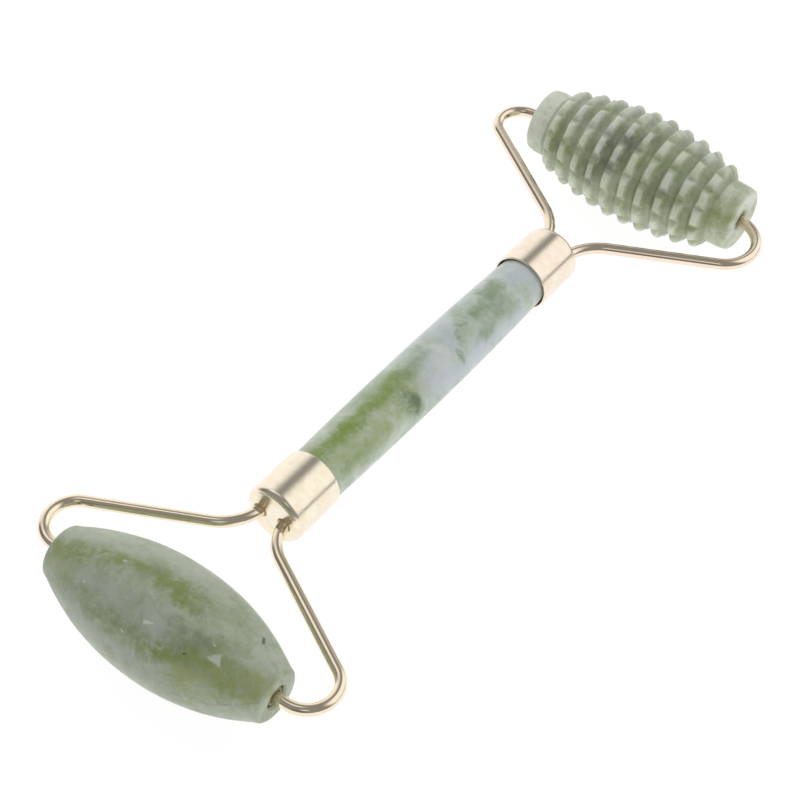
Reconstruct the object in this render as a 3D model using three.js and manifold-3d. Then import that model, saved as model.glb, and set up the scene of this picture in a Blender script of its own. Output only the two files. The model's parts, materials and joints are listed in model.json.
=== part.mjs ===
// Double-ended jade face roller: a stone handle in two metal end caps, and at each end a bent
// wire yoke that holds a stone roller, one smooth and one ridged, between its two pins.
//
// Millimetres, +Z up. X runs along the roller axes and Y along the handle, with the smooth
// roller at -Y. The tool lies on its two rollers: z = 0 is the surface under them, and the
// origin is the middle of the base of the whole object.

import * as THREE from "three";
import { mergeVertices } from "three/addons/utils/BufferGeometryUtils.js";
import Module from "manifold-3d";

const wasm = await Module();
wasm.setup();

// ---------------------------------------------------------------- driving dimensions

const LENGTH = 151.4; // over both rollers
const SEAT_GAP = 0.2; // between a piece and the hollow that it is glued or pressed into

const WIRE = { radius: 1.0, sides: 12, step: 1.0 };

const CAP = {
  radius: 5.25,
  length: 10.3,
  wall: 0.35,
  floor: 0.8,
  edge: 1.1, // rounding round the closed end
  rim: 0.12, // rounding of the open end
  holeRadius: 1.2,
  holeSpacing: 4.5, // between the two wire holes
};

const HANDLE = {
  middleRadius: 5.13,
  smoothEndRadius: 4.75,
  ridgedEndRadius: 4.6,
  spigot: 5.4, // how far the stone goes into each cap
  chamfer: 0.4,
};

const SMOOTH_ROLLER = {
  radius: 9.7,
  endRadius: 4.15,
  length: 41.8,
  power: 2.14, // of the barrel's outline
  skew: 0.2, // the barrel is a little fuller on its +X half
  edge: 0.9,
  offset: 0.6, // the roller's middle from the handle's axis, along X
};

const RIDGED_ROLLER = {
  radius: 10.45,
  endRadius: 6.1,
  faceRadius: 5.3,
  length: 43.1,
  offset: -0.1,
  rings: 10,
  ringPitch: 3.52,
  ringShift: -0.25, // the rings' middle from the roller's middle, so the +X end is left longer
  ringDrop: 2.35, // the outermost rings are this much smaller in radius than the middle
  crest: 0.8, // flat top of a ring, along X
  flank: 0.9, // from a crest's edge to the groove's floor, along X
  grooveDepth: 1.45,
  teeth: 12, // round each ring
  notchAngle: 18, // degrees
  notchDepth: 0.95,
};

// Each yoke's arms are bent by hand, so its left and right arms differ slightly. An arm is set
// by its slope in degrees, how far out its wire's centre reaches, and the bend at the pin.
const SMOOTH_YOKE = {
  depth: 25.0, // from the cap's end to the pins
  left: { angle: 28.3, reach: 26.75, pinBend: 4.85 },
  right: { angle: 28.3, reach: 27.9, pinBend: 4.85 },
};
const RIDGED_YOKE = {
  depth: 28.9,
  left: { angle: 33.5, reach: 27.9, pinBend: 4.5 },
  right: { angle: 29.0, reach: 27.4, pinBend: 6.7 },
};
const SHOULDER_START = 1.2; // the bend beside the cap begins this far inside the cap's end

const BUSH = {
  bore: 1.1,
  radius: 1.7,
  length: 8,
  recess: 0.3, // below the roller's end face
  chamfer: 0.2,
};
const STONE_BORE = 1.9; // through each roller
const PIN_LENGTH = 9; // of wire inside the roller

const ROUND = 48; // sides of the stone pieces and caps
const SMALL_ROUND = 24; // sides of the bushes and holes

// ---------------------------------------------------------------- positions worked out from them

const NOTCH_HALF = THREE.MathUtils.degToRad(RIDGED_ROLLER.notchAngle / 2);
const smoothRest = SMOOTH_ROLLER.radius;
const ridgedRest = ringRadius(middleRing()) * Math.cos(NOTCH_HALF); // it lies on a notch's two edges
const smoothAxisY = -LENGTH / 2 + smoothRest;
const ridgedAxisY = LENGTH / 2 - ridgedRest;
const smoothCapY = smoothAxisY + SMOOTH_YOKE.depth;
const ridgedCapY = ridgedAxisY - RIDGED_YOKE.depth;
const CAP_HOLE_X = CAP.holeSpacing / 2;
const capInside = CAP.radius - CAP.wall;

// ---------------------------------------------------------------- materials

const JADE = new THREE.MeshStandardMaterial({ color: 0x9fae8f, roughness: 0.45, metalness: 0 });
const GOLD = new THREE.MeshStandardMaterial({ color: 0xe6cfa6, roughness: 0.16, metalness: 1 });
const NYLON = new THREE.MeshStandardMaterial({ color: 0xe9e6da, roughness: 0.5, metalness: 0 });
const EPOXY = new THREE.MeshStandardMaterial({ color: 0xb9a578, roughness: 0.4, metalness: 0 });

// ---------------------------------------------------------------- helpers

function solidOf(geometry) {
  const bare = geometry.clone();
  bare.deleteAttribute("normal");
  bare.deleteAttribute("uv");
  const merged = mergeVertices(bare, 1e-4);
  return new wasm.Manifold(
    new wasm.Mesh({
      numProp: 3,
      vertProperties: merged.attributes.position.array,
      triVerts: new Uint32Array(merged.index.array),
    }),
  );
}

function geometryOf(solid) {
  const mesh = solid.getMesh();
  const geometry = new THREE.BufferGeometry();
  geometry.setAttribute("position", new THREE.BufferAttribute(mesh.vertProperties, 3));
  geometry.setIndex(new THREE.BufferAttribute(mesh.triVerts, 1));
  geometry.computeVertexNormals();
  return geometry;
}

// The first geometry with the others cut out of it.
function cut(geometry, cutters) {
  return geometryOf(
    cutters.reduce((solid, cutter) => solid.subtract(solidOf(cutter)), solidOf(geometry)),
  );
}

// A turned piece about its own Y axis. Each profile point is [radius, height].
function turned(profile, sides) {
  return new THREE.LatheGeometry(
    profile.map(([radius, height]) => new THREE.Vector2(radius, height)),
    sides,
  );
}

function named(name, geometry, material) {
  const mesh = new THREE.Mesh(geometry, material);
  mesh.name = name;
  return mesh;
}

// Points of a quarter-round edge, from angle `from` to `to` in degrees about its centre.
function edgeArc(radius, height, size, from, to, steps = 2) {
  const points = [];
  for (let i = 0; i <= steps; i++) {
    const angle = THREE.MathUtils.degToRad(from + ((to - from) * i) / steps);
    points.push([radius + size * Math.cos(angle), height + size * Math.sin(angle)]);
  }
  return points;
}

// ---------------------------------------------------------------- yoke wires

// A flat route in the XY plane, taken as a curve in space.
class WireCentreline extends THREE.Curve {
  constructor(route) {
    super();
    this.route = route;
  }

  getPoint(t, target = new THREE.Vector3()) {
    const point = this.route.getPoint(t);
    return target.set(point.x, point.y, 0);
  }
}

// The bends of one arm, with x outwards from the handle's axis and y away from the cap. The
// shoulder bend's radius is the one that turns the wire from its hole straight into the arm.
function armBends(yoke, arm) {
  const angle = THREE.MathUtils.degToRad(arm.angle);
  const across = new THREE.Vector2(Math.sin(angle), -Math.cos(angle)); // square to the arm
  const pinCentre = new THREE.Vector2(arm.reach - arm.pinBend, yoke.depth - arm.pinBend);
  const holeToArm = pinCentre.clone().addScaledVector(across, arm.pinBend);
  holeToArm.sub(new THREE.Vector2(CAP_HOLE_X, -SHOULDER_START));
  const shoulder = -holeToArm.dot(across) / (1 - across.x);
  const shoulderCentre = new THREE.Vector2(CAP_HOLE_X + shoulder, -SHOULDER_START);
  return { angle, pinCentre, shoulder, shoulderCentre };
}

// One wire from pin to pin. The cap's end is y = 0, and the wire leaves it towards -Y.
function wireRoute(yoke, pinEnds) {
  const left = armBends(yoke, yoke.left);
  const right = armBends(yoke, yoke.right);
  const bridgeY = CAP.floor + WIRE.radius / 2;
  const route = new THREE.Path();
  route.moveTo(pinEnds.left, -yoke.depth);
  route.absarc(
    -left.pinCentre.x,
    -left.pinCentre.y,
    yoke.left.pinBend,
    -Math.PI / 2,
    -Math.PI * 1.5 + left.angle,
    true,
  );
  route.absarc(
    -left.shoulderCentre.x,
    -left.shoulderCentre.y,
    left.shoulder,
    -Math.PI / 2 + left.angle,
    0,
    false,
  );
  route.absarc(0, bridgeY, CAP_HOLE_X, Math.PI, 0, true);
  route.absarc(
    right.shoulderCentre.x,
    -right.shoulderCentre.y,
    right.shoulder,
    Math.PI,
    Math.PI * 1.5 - right.angle,
    false,
  );
  route.absarc(
    right.pinCentre.x,
    -right.pinCentre.y,
    yoke.right.pinBend,
    Math.PI / 2 - right.angle,
    -Math.PI / 2,
    true,
  );
  route.lineTo(pinEnds.right, -yoke.depth);
  return route;
}

function wireGeometry(route, radius) {
  const section = new THREE.Shape();
  section.absarc(0, 0, radius, 0, Math.PI * 2, false);
  return new THREE.ExtrudeGeometry(section, {
    steps: Math.round(route.getLength() / WIRE.step),
    curveSegments: WIRE.sides / 2, // a full circle takes two points per segment
    bevelEnabled: false,
    extrudePath: new WireCentreline(route),
  });
}

// Where the two ends of a yoke's wire stop inside its roller, along X.
function pinEndsIn(roller) {
  return {
    left: roller.offset - roller.length / 2 + PIN_LENGTH,
    right: roller.offset + roller.length / 2 - PIN_LENGTH,
  };
}

// ---------------------------------------------------------------- end caps and adhesive

// A cup whose closed end is y = 0 and whose mouth is at +Y.
function capGeometry() {
  const cup = turned(
    [
      [0, 0],
      ...edgeArc(CAP.radius - CAP.edge, CAP.edge, CAP.edge, -90, 0, 4),
      ...edgeArc(CAP.radius - CAP.rim, CAP.length - CAP.rim, CAP.rim, 0, 90, 1),
      [capInside, CAP.length],
      [capInside, CAP.floor],
      [0, CAP.floor],
    ],
    ROUND,
  );
  const holes = [-1, 1].map((side) => {
    const hole = new THREE.CylinderGeometry(
      CAP.holeRadius,
      CAP.holeRadius,
      CAP.floor * 3,
      SMALL_ROUND,
    );
    return hole.translate(side * CAP_HOLE_X, 0, 0);
  });
  return cut(cup, holes);
}

// The hardened adhesive that fills the cap's bottom round the wire's bridge.
function adhesiveGeometry(route) {
  const bottom = CAP.floor + SEAT_GAP;
  const height = CAP.length - HANDLE.spigot - SEAT_GAP - bottom;
  const plug = new THREE.CylinderGeometry(
    capInside - SEAT_GAP,
    capInside - SEAT_GAP,
    height,
    SMALL_ROUND,
  );
  plug.translate(0, bottom + height / 2, 0);
  return cut(plug, [wireGeometry(route, WIRE.radius + SEAT_GAP)]);
}

// ---------------------------------------------------------------- stone handle

function handleGeometry() {
  const mouthToMouth = ridgedCapY - smoothCapY - 2 * CAP.length;
  const bulgeSteps = 10;
  const bulge = [];
  for (let i = 0; i <= bulgeSteps; i++) {
    const t = (2 * i) / bulgeSteps - 1;
    const end = t < 0 ? HANDLE.smoothEndRadius : HANDLE.ridgedEndRadius;
    const radius = HANDLE.middleRadius - (HANDLE.middleRadius - end) * t * t;
    bulge.push([radius, (t * mouthToMouth) / 2]);
  }
  const end = mouthToMouth / 2 + HANDLE.spigot;
  return turned(
    [
      [0, -end],
      [HANDLE.smoothEndRadius - HANDLE.chamfer, -end],
      [HANDLE.smoothEndRadius, -end + HANDLE.chamfer],
      ...bulge,
      [HANDLE.ridgedEndRadius, end - HANDLE.chamfer],
      [HANDLE.ridgedEndRadius - HANDLE.chamfer, end],
      [0, end],
    ],
    ROUND,
  );
}

// ---------------------------------------------------------------- rollers

// Radius of the smooth barrel at `s`, which runs from -1 to 1 along it.
function barrelRadius(s) {
  const { radius, endRadius, power, skew } = SMOOTH_ROLLER;
  return endRadius + (radius - endRadius) * (1 - Math.abs(s) ** power) + skew * s * (1 - s * s);
}

function smoothRollerGeometry() {
  const { length, edge } = SMOOTH_ROLLER;
  const half = length / 2;
  const barrelSteps = 20;
  const barrel = [];
  for (let i = 0; i <= barrelSteps; i++) {
    const s = ((2 * i) / barrelSteps - 1) * (1 - edge / half);
    barrel.push([barrelRadius(s), s * half]);
  }
  const leftShoulder = barrel[0][0] - edge;
  const rightShoulder = barrel[barrelSteps][0] - edge;
  return turned(
    [
      [STONE_BORE, -half],
      ...edgeArc(leftShoulder, edge - half, edge, -90, -30),
      ...barrel,
      ...edgeArc(rightShoulder, half - edge, edge, 30, 90),
      [STONE_BORE, half],
      [STONE_BORE, -half],
    ],
    ROUND,
  );
}

function middleRing() {
  return (RIDGED_ROLLER.rings - 1) / 2;
}

// Radius of the toothed envelope at ring number `index`, which may lie between two rings.
function ringRadius(index) {
  const out = (index - middleRing()) / middleRing();
  return RIDGED_ROLLER.radius - RIDGED_ROLLER.ringDrop * out * out;
}

// A turned blank with flat-topped rings between flat-floored grooves. Its crests are then notched.
function ridgedRollerGeometry() {
  const { length, rings, ringPitch, ringShift, crest, flank, grooveDepth, endRadius } =
    RIDGED_ROLLER;
  const half = length / 2;
  const toGroove = crest / 2 + flank; // from a ring's middle
  const facing = endRadius - RIDGED_ROLLER.faceRadius;
  const profile = [
    [STONE_BORE, -half],
    [RIDGED_ROLLER.faceRadius, -half],
    [endRadius, -half + facing],
  ];
  const crestRows = new Set();
  for (let i = 0; i < rings; i++) {
    const x = ringShift + (i - middleRing()) * ringPitch;
    for (const along of [-toGroove, -crest / 2, crest / 2, toGroove]) {
      const envelope = ringRadius(i + along / ringPitch);
      if (Math.abs(along) < toGroove) {
        crestRows.add(profile.length);
        profile.push([envelope, x + along]);
      } else {
        profile.push([Math.max(envelope - grooveDepth, endRadius), x + along]);
      }
    }
  }
  profile.push([endRadius, half - facing]);
  profile.push([RIDGED_ROLLER.faceRadius, half]);
  profile.push([STONE_BORE, half]);
  profile.push([STONE_BORE, -half]);
  return notched(turned(profile, RIDGED_ROLLER.teeth * 3), profile.length, crestRows);
}

// Moves the blank's columns to the edges and middle of the notches between teeth, and sinks
// the crest rows at each notch's middle. The crest between two notches stays flat.
function notched(geometry, rows, crestRows) {
  const position = geometry.attributes.position;
  const toothAngle = (2 * Math.PI) / RIDGED_ROLLER.teeth;
  for (let i = 0; i < position.count; i++) {
    const column = Math.floor(i / rows);
    const inTooth = (column % 3) - 1;
    const tooth = Math.floor(column / 3);
    const radius = Math.hypot(position.getX(i), position.getZ(i));
    const sunk = inTooth === 0 && crestRows.has(i % rows) ? RIDGED_ROLLER.notchDepth : 0;
    const angle = tooth * toothAngle + inTooth * NOTCH_HALF;
    position.setX(i, (radius - sunk) * Math.sin(angle));
    position.setZ(i, (radius - sunk) * Math.cos(angle));
  }
  return geometry;
}

// A nylon sleeve from y = 0 to its length.
function bushGeometry() {
  const { bore, radius, length, chamfer } = BUSH;
  return turned(
    [
      [bore, 0],
      [radius - chamfer, 0],
      [radius, chamfer],
      [radius, length - chamfer],
      [radius - chamfer, length],
      [bore, length],
      [bore, 0],
    ],
    SMALL_ROUND,
  );
}

// A roller with a bush in each end, turned so that its axis lies along X.
function rollerGroup(name, roller, geometry, axisY) {
  const group = new THREE.Group();
  group.position.set(roller.offset, axisY, 0);
  group.rotation.z = -Math.PI / 2;
  group.add(named(name, geometry, JADE));
  for (const [side, sign] of [["left", -1], ["right", 1]]) {
    const bush = named(`${name}_bush_${side}`, bushGeometry(), NYLON);
    bush.position.y = sign * (roller.length / 2 - BUSH.recess - BUSH.length / 2) - BUSH.length / 2;
    group.add(bush);
  }
  return group;
}

// A cap, its adhesive and its yoke wire. `outwards` is -1 towards -Y and 1 towards +Y.
function yokeGroup(end, yoke, roller, capY, outwards) {
  const pins = pinEndsIn(roller);
  let arms = yoke;
  let pinEnds = pins;
  if (outwards > 0) {
    // The group is turned half round about Z, so its own left and right change places.
    arms = { ...yoke, left: yoke.right, right: yoke.left };
    pinEnds = { left: -pins.right, right: -pins.left };
  }
  const route = wireRoute(arms, pinEnds);
  const group = new THREE.Group();
  group.position.y = capY;
  group.rotation.z = outwards > 0 ? Math.PI : 0;
  group.add(named(`${end}_end_cap`, capGeometry(), GOLD));
  group.add(named(`${end}_yoke_wire`, wireGeometry(route, WIRE.radius), GOLD));
  group.add(named(`${end}_cap_adhesive`, adhesiveGeometry(route), EPOXY));
  return group;
}

// ---------------------------------------------------------------- assembly

const tool = new THREE.Group();
const handle = named("handle", handleGeometry(), JADE);
handle.position.y = (smoothCapY + ridgedCapY) / 2;
tool.add(handle);
tool.add(yokeGroup("smooth", SMOOTH_YOKE, SMOOTH_ROLLER, smoothCapY, -1));
tool.add(yokeGroup("ridged", RIDGED_YOKE, RIDGED_ROLLER, ridgedCapY, 1));
tool.add(rollerGroup("smooth_roller", SMOOTH_ROLLER, smoothRollerGeometry(), smoothAxisY));
tool.add(rollerGroup("ridged_roller", RIDGED_ROLLER, ridgedRollerGeometry(), ridgedAxisY));

// The ridged roller is the fatter one, so the tool leans by a fraction of a degree.
tool.rotation.x = Math.asin((ridgedRest - smoothRest) / (ridgedAxisY - smoothAxisY));
tool.position.z = smoothRest - smoothAxisY * Math.sin(tool.rotation.x);

const group = new THREE.Group();
group.add(tool);

export default group;
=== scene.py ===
"""Looks of the double-ended jade face roller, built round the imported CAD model.

Shapes are worked out in millimetres in the tool's own frame, whose origin is the smooth roller's
axis: +X runs along the roller axes, +Y along the handle towards the ridged roller, and +Z up. TOOL
carries that frame into the row frame, in metres.
"""

import json
import math

import bmesh
import bpy
import numpy as np
from mathutils import Matrix, Vector, noise


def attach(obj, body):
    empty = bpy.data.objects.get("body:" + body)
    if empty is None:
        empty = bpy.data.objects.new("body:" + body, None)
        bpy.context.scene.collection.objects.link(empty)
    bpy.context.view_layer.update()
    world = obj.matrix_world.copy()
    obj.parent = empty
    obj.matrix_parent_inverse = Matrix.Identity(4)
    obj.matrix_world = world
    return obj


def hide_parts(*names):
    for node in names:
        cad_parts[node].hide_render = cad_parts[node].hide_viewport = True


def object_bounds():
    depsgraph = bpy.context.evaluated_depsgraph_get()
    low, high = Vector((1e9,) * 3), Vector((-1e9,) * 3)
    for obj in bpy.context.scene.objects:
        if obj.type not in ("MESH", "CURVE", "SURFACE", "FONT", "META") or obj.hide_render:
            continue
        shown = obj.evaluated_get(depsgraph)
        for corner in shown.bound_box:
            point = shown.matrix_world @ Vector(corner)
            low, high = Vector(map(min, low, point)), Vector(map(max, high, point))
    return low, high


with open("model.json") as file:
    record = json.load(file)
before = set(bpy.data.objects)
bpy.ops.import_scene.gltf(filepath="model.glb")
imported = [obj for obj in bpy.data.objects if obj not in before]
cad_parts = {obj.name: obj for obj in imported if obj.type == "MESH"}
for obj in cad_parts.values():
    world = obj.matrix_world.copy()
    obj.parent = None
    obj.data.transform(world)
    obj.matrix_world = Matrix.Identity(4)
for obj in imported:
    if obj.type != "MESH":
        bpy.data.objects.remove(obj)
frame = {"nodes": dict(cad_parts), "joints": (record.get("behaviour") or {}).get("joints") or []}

CAD_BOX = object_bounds()
MM = 0.001

# ---------------------------------------------------------------- the tool's frame

AXES = {j["name"]: Vector(j["pos_m"]) for j in frame["joints"]}
SMOOTH_AXIS = AXES["smooth_roller_spin"]
RIDGED_AXIS = AXES["ridged_roller_spin"]
SPAN = (RIDGED_AXIS - SMOOTH_AXIS).length / MM
LEAN = math.atan2(RIDGED_AXIS.z - SMOOTH_AXIS.z, RIDGED_AXIS.y - SMOOTH_AXIS.y)
TOOL = Matrix.Translation(SMOOTH_AXIS) @ Matrix.Rotation(LEAN, 4, "X") @ Matrix.Scale(MM, 4)

# ---------------------------------------------------------------- dimensions, as in the CAD

WIRE_RADIUS = 1.0
WIRE_SIDES = 48
WIRE_STEP = 0.7  # between the rings of points along a wire
ARC_STEP = 2.5  # degrees, along its bends
CAP = {"radius": 5.25, "length": 10.3, "wall": 0.35, "floor": 0.8, "edge": 1.1, "rim": 0.12}
CAP_HOLE_RADIUS = 1.2
CAP_HOLE_X = 2.25
HANDLE = {"middle": 5.13, "smooth_end": 4.75, "ridged_end": 4.6, "spigot": 5.4, "chamfer": 0.4}
SMOOTH = {"radius": 9.7, "end": 4.15, "length": 41.8, "power": 2.14, "skew": 0.2, "edge": 0.9,
          "offset": 0.6}
RIDGED = {"radius": 10.45, "end": 6.1, "face": 5.3, "length": 43.1, "offset": -0.1, "rings": 10,
          "pitch": 3.52, "shift": -0.25, "drop": 2.35, "crest": 0.8, "flank": 0.9, "groove": 1.45,
          "teeth": 12, "notch_angle": 18.0, "notch": 0.95}
TOOTH_UNEVEN = 0.16  # how far a tooth's height and a ring's place may be out
RING_UNEVEN = 0.10
STONE_BORE = 1.9
BORE_CHAMFER = 0.35  # at both mouths of a roller's bore
EVEN_WITHIN = STONE_BORE + 0.5  # a stone piece has no unevenness this close to its axis
PIN_LENGTH = 9
SHOULDER_START = 1.2
SMOOTH_YOKE = {"depth": 25.0, -1: (28.3, 26.75, 4.85), 1: (28.3, 27.9, 4.85)}
RIDGED_YOKE = {"depth": 28.9, -1: (33.5, 27.9, 4.5), 1: (29.0, 27.4, 6.7)}
SMOOTH_CAP_Y = SMOOTH_YOKE["depth"]
RIDGED_CAP_Y = SPAN - RIDGED_YOKE["depth"]

# ---------------------------------------------------------------- mesh helpers


def add_mesh(name, points, faces):
    """A mesh object whose points are given in the tool's frame."""
    rotation = np.array(TOOL.to_3x3())
    shift = np.array(TOOL.translation)
    placed = np.asarray(points, float).reshape(-1, 3) @ rotation.T + shift
    mesh = bpy.data.meshes.new(name)
    mesh.from_pydata(placed.tolist(), [], faces)
    obj = bpy.data.objects.new(name, mesh)
    bpy.context.scene.collection.objects.link(obj)
    work = bmesh.new()
    work.from_mesh(mesh)
    bmesh.ops.remove_doubles(work, verts=work.verts, dist=1e-7)
    bmesh.ops.recalc_face_normals(work, faces=work.faces)
    work.to_mesh(mesh)
    work.free()
    return obj


def shade(obj, sharp_angle=40):
    """Smooth shading, with edges over sharp_angle degrees kept sharp."""
    obj.data.polygons.foreach_set("use_smooth", [True] * len(obj.data.polygons))
    obj.data.set_sharp_from_angle(angle=math.radians(sharp_angle))


def grid_faces(rows, columns, closed_rows):
    """Quads of a grid whose columns go round and whose rows may also close on themselves."""
    faces = []
    for i in range(rows if closed_rows else rows - 1):
        below = (i + 1) % rows
        for j in range(columns):
            right = (j + 1) % columns
            faces.append((i * columns + j, i * columns + right,
                          below * columns + right, below * columns + j))
    return faces


def capped_faces(rows, columns):
    """Faces of an open grid of rings, with its first and last ring filled in."""
    count = rows * columns
    lids = [tuple(range(columns - 1, -1, -1)), tuple(range(count - columns, count))]
    return grid_faces(rows, columns, False) + lids


def turned(profile, columns, axis, centre):
    """Points of a body of revolution. A profile point is (radius, place along the axis)."""
    turn = np.linspace(0, 2 * math.pi, columns, endpoint=False)
    radius, along = np.array(profile, float).T
    points = np.zeros((len(profile), columns, 3))
    if axis == "X":
        points[..., 0] = along[:, None] + centre[0]
        points[..., 1] = radius[:, None] * np.sin(turn) + centre[1]
    else:
        points[..., 0] = radius[:, None] * np.sin(turn) + centre[0]
        points[..., 1] = along[:, None] + centre[1]
    points[..., 2] = radius[:, None] * np.cos(turn)
    return points


def quarter(radius, along, size, start, end, steps):
    """Profile points of a rounded edge, from angle start to end about its centre."""
    points = []
    for i in range(steps + 1):
        angle = math.radians(start + (end - start) * i / steps)
        points.append((radius + size * math.cos(angle), along + size * math.sin(angle)))
    return points


def settle(obj, material, body, node):
    """Gives a piece its material, and puts it in a CAD node's place on a body."""
    obj.data.materials.clear()
    obj.data.materials.append(material)
    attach(obj, body)
    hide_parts(node)


def cut(obj, cutter):
    """Takes the cutter out of obj, and removes the cutter."""
    modifier = obj.modifiers.new("cut", "BOOLEAN")
    modifier.operation = "DIFFERENCE"
    modifier.solver = "EXACT"
    modifier.object = cutter
    graph = bpy.context.evaluated_depsgraph_get()
    graph.update()
    mesh = bpy.data.meshes.new_from_object(obj.evaluated_get(graph))
    obj.modifiers.clear()
    old = obj.data
    obj.data = mesh
    bpy.data.meshes.remove(old)
    mesh.name = obj.name
    bpy.data.objects.remove(cutter)


# ---------------------------------------------------------------- shader helpers


class Nodes:
    """A node tree, with one method for each kind of step."""

    def __init__(self, tree):
        self.tree = tree
        tree.nodes.clear()

    def new(self, kind, **settings):
        node = self.tree.nodes.new(kind)
        for key, value in settings.items():
            setattr(node, key, value)
        return node

    def link(self, output, socket):
        self.tree.links.new(output, socket)

    def put(self, value, socket):
        """A number, colour or vector on the socket itself, or a link into it."""
        if isinstance(value, bpy.types.NodeSocket):
            self.link(value, socket)
        elif isinstance(value, (int, float)) and hasattr(socket.default_value, "__len__"):
            socket.default_value = [value] * len(socket.default_value)
        else:
            socket.default_value = value

    def math(self, operation, *values, clamp=False):
        node = self.new("ShaderNodeMath", operation=operation, use_clamp=clamp)
        for value, socket in zip(values, node.inputs):
            self.put(value, socket)
        return node.outputs[0]

    def vector(self, operation, *values):
        node = self.new("ShaderNodeVectorMath", operation=operation)
        for value, socket in zip(values, node.inputs):
            self.put(value, socket)
        return node.outputs["Value" if operation in ("LENGTH", "DOT_PRODUCT") else "Vector"]

    def scale(self, vector, factor):
        node = self.new("ShaderNodeVectorMath", operation="SCALE")
        self.put(vector, node.inputs[0])
        self.put(factor, node.inputs["Scale"])
        return node.outputs[0]

    def ramp(self, value, low, high, to_low=0.0, to_high=1.0):
        """A smooth step from to_low, where value is low, to to_high, where it is high."""
        node = self.new("ShaderNodeMapRange", clamp=True, interpolation_type="SMOOTHSTEP")
        for index, item in enumerate((value, low, high, to_low, to_high)):
            self.put(item, node.inputs[index])
        return node.outputs[0]

    def noise(self, place, scale, detail=3.0, roughness=0.55, colour=False):
        node = self.new("ShaderNodeTexNoise")
        self.put(place, node.inputs["Vector"])
        node.inputs["Scale"].default_value = scale
        node.inputs["Detail"].default_value = detail
        node.inputs["Roughness"].default_value = roughness
        return node.outputs["Color" if colour else 0]

    def cells(self, place, scale):
        """The distance to the nearest of a cloud of scattered points."""
        node = self.new("ShaderNodeTexVoronoi")
        self.put(place, node.inputs["Vector"])
        node.inputs["Scale"].default_value = scale
        return node.outputs["Distance"]

    def mix(self, amount, first, second):
        node = self.new("ShaderNodeMix", data_type="RGBA")
        first_socket, second_socket = node.inputs[6], node.inputs[7]  # its colours, A and B
        self.put(amount, node.inputs[0])
        self.put(first, first_socket)
        self.put(second, second_socket)
        return node.outputs[2]

    def place_mm(self):
        """The point at rest in the row frame, in millimetres: pieces sit at the origin."""
        coordinates = self.new("ShaderNodeTexCoord")
        return self.scale(coordinates.outputs["Object"], 1 / MM)

    def warped(self, place, scale, amount):
        wave = self.noise(place, scale, 2.0, colour=True)
        centred = self.vector("SUBTRACT", wave, (0.5, 0.5, 0.5))
        return self.vector("ADD", place, self.scale(centred, amount))

    def bump(self, height, strength, distance_mm):
        node = self.new("ShaderNodeBump")
        node.inputs["Strength"].default_value = strength
        node.inputs["Distance"].default_value = distance_mm * MM
        self.put(height, node.inputs["Height"])
        return node.outputs[0]

    def streak(self, place, start, end, radius, soft):
        """1 along the line from start to end, down to 0 at radius, with a soft share of edge."""
        a, b = Vector(start), Vector(end)
        across = b - a
        from_a = self.vector("SUBTRACT", place, a)
        share = self.vector("DOT_PRODUCT", from_a, across / across.length_squared)
        share = self.math("MULTIPLY", share, 1.0, clamp=True)
        nearest = self.scale(tuple(across), share)
        gap = self.vector("LENGTH", self.vector("SUBTRACT", from_a, nearest))
        return self.ramp(gap, radius, radius * (1 - soft))


class Shader(Nodes):
    """A material with one principled surface."""

    def __init__(self, name):
        self.material = bpy.data.materials.new(name)
        self.material.use_nodes = True
        super().__init__(self.material.node_tree)
        self.surface = self.new("ShaderNodeBsdfPrincipled")
        output = self.new("ShaderNodeOutputMaterial")
        self.link(self.surface.outputs[0], output.inputs["Surface"])

    def set(self, **inputs):
        """Sets the surface's inputs by name, with _ for each space."""
        for key, value in inputs.items():
            self.put(value, self.surface.inputs[key.replace("_", " ")])


def colour(red, green, blue):
    """A linear colour from sRGB values out of 255."""
    return tuple((c / 255 / 12.92) if c <= 10 else ((c / 255 + 0.055) / 1.055) ** 2.4
                 for c in (red, green, blue)) + (1.0,)


# ---------------------------------------------------------------- jade


def row_mm(point):
    """A point of the tool's frame in row-frame millimetres, for the shaders."""
    return tuple((TOOL @ Vector(point)) / MM)


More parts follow.
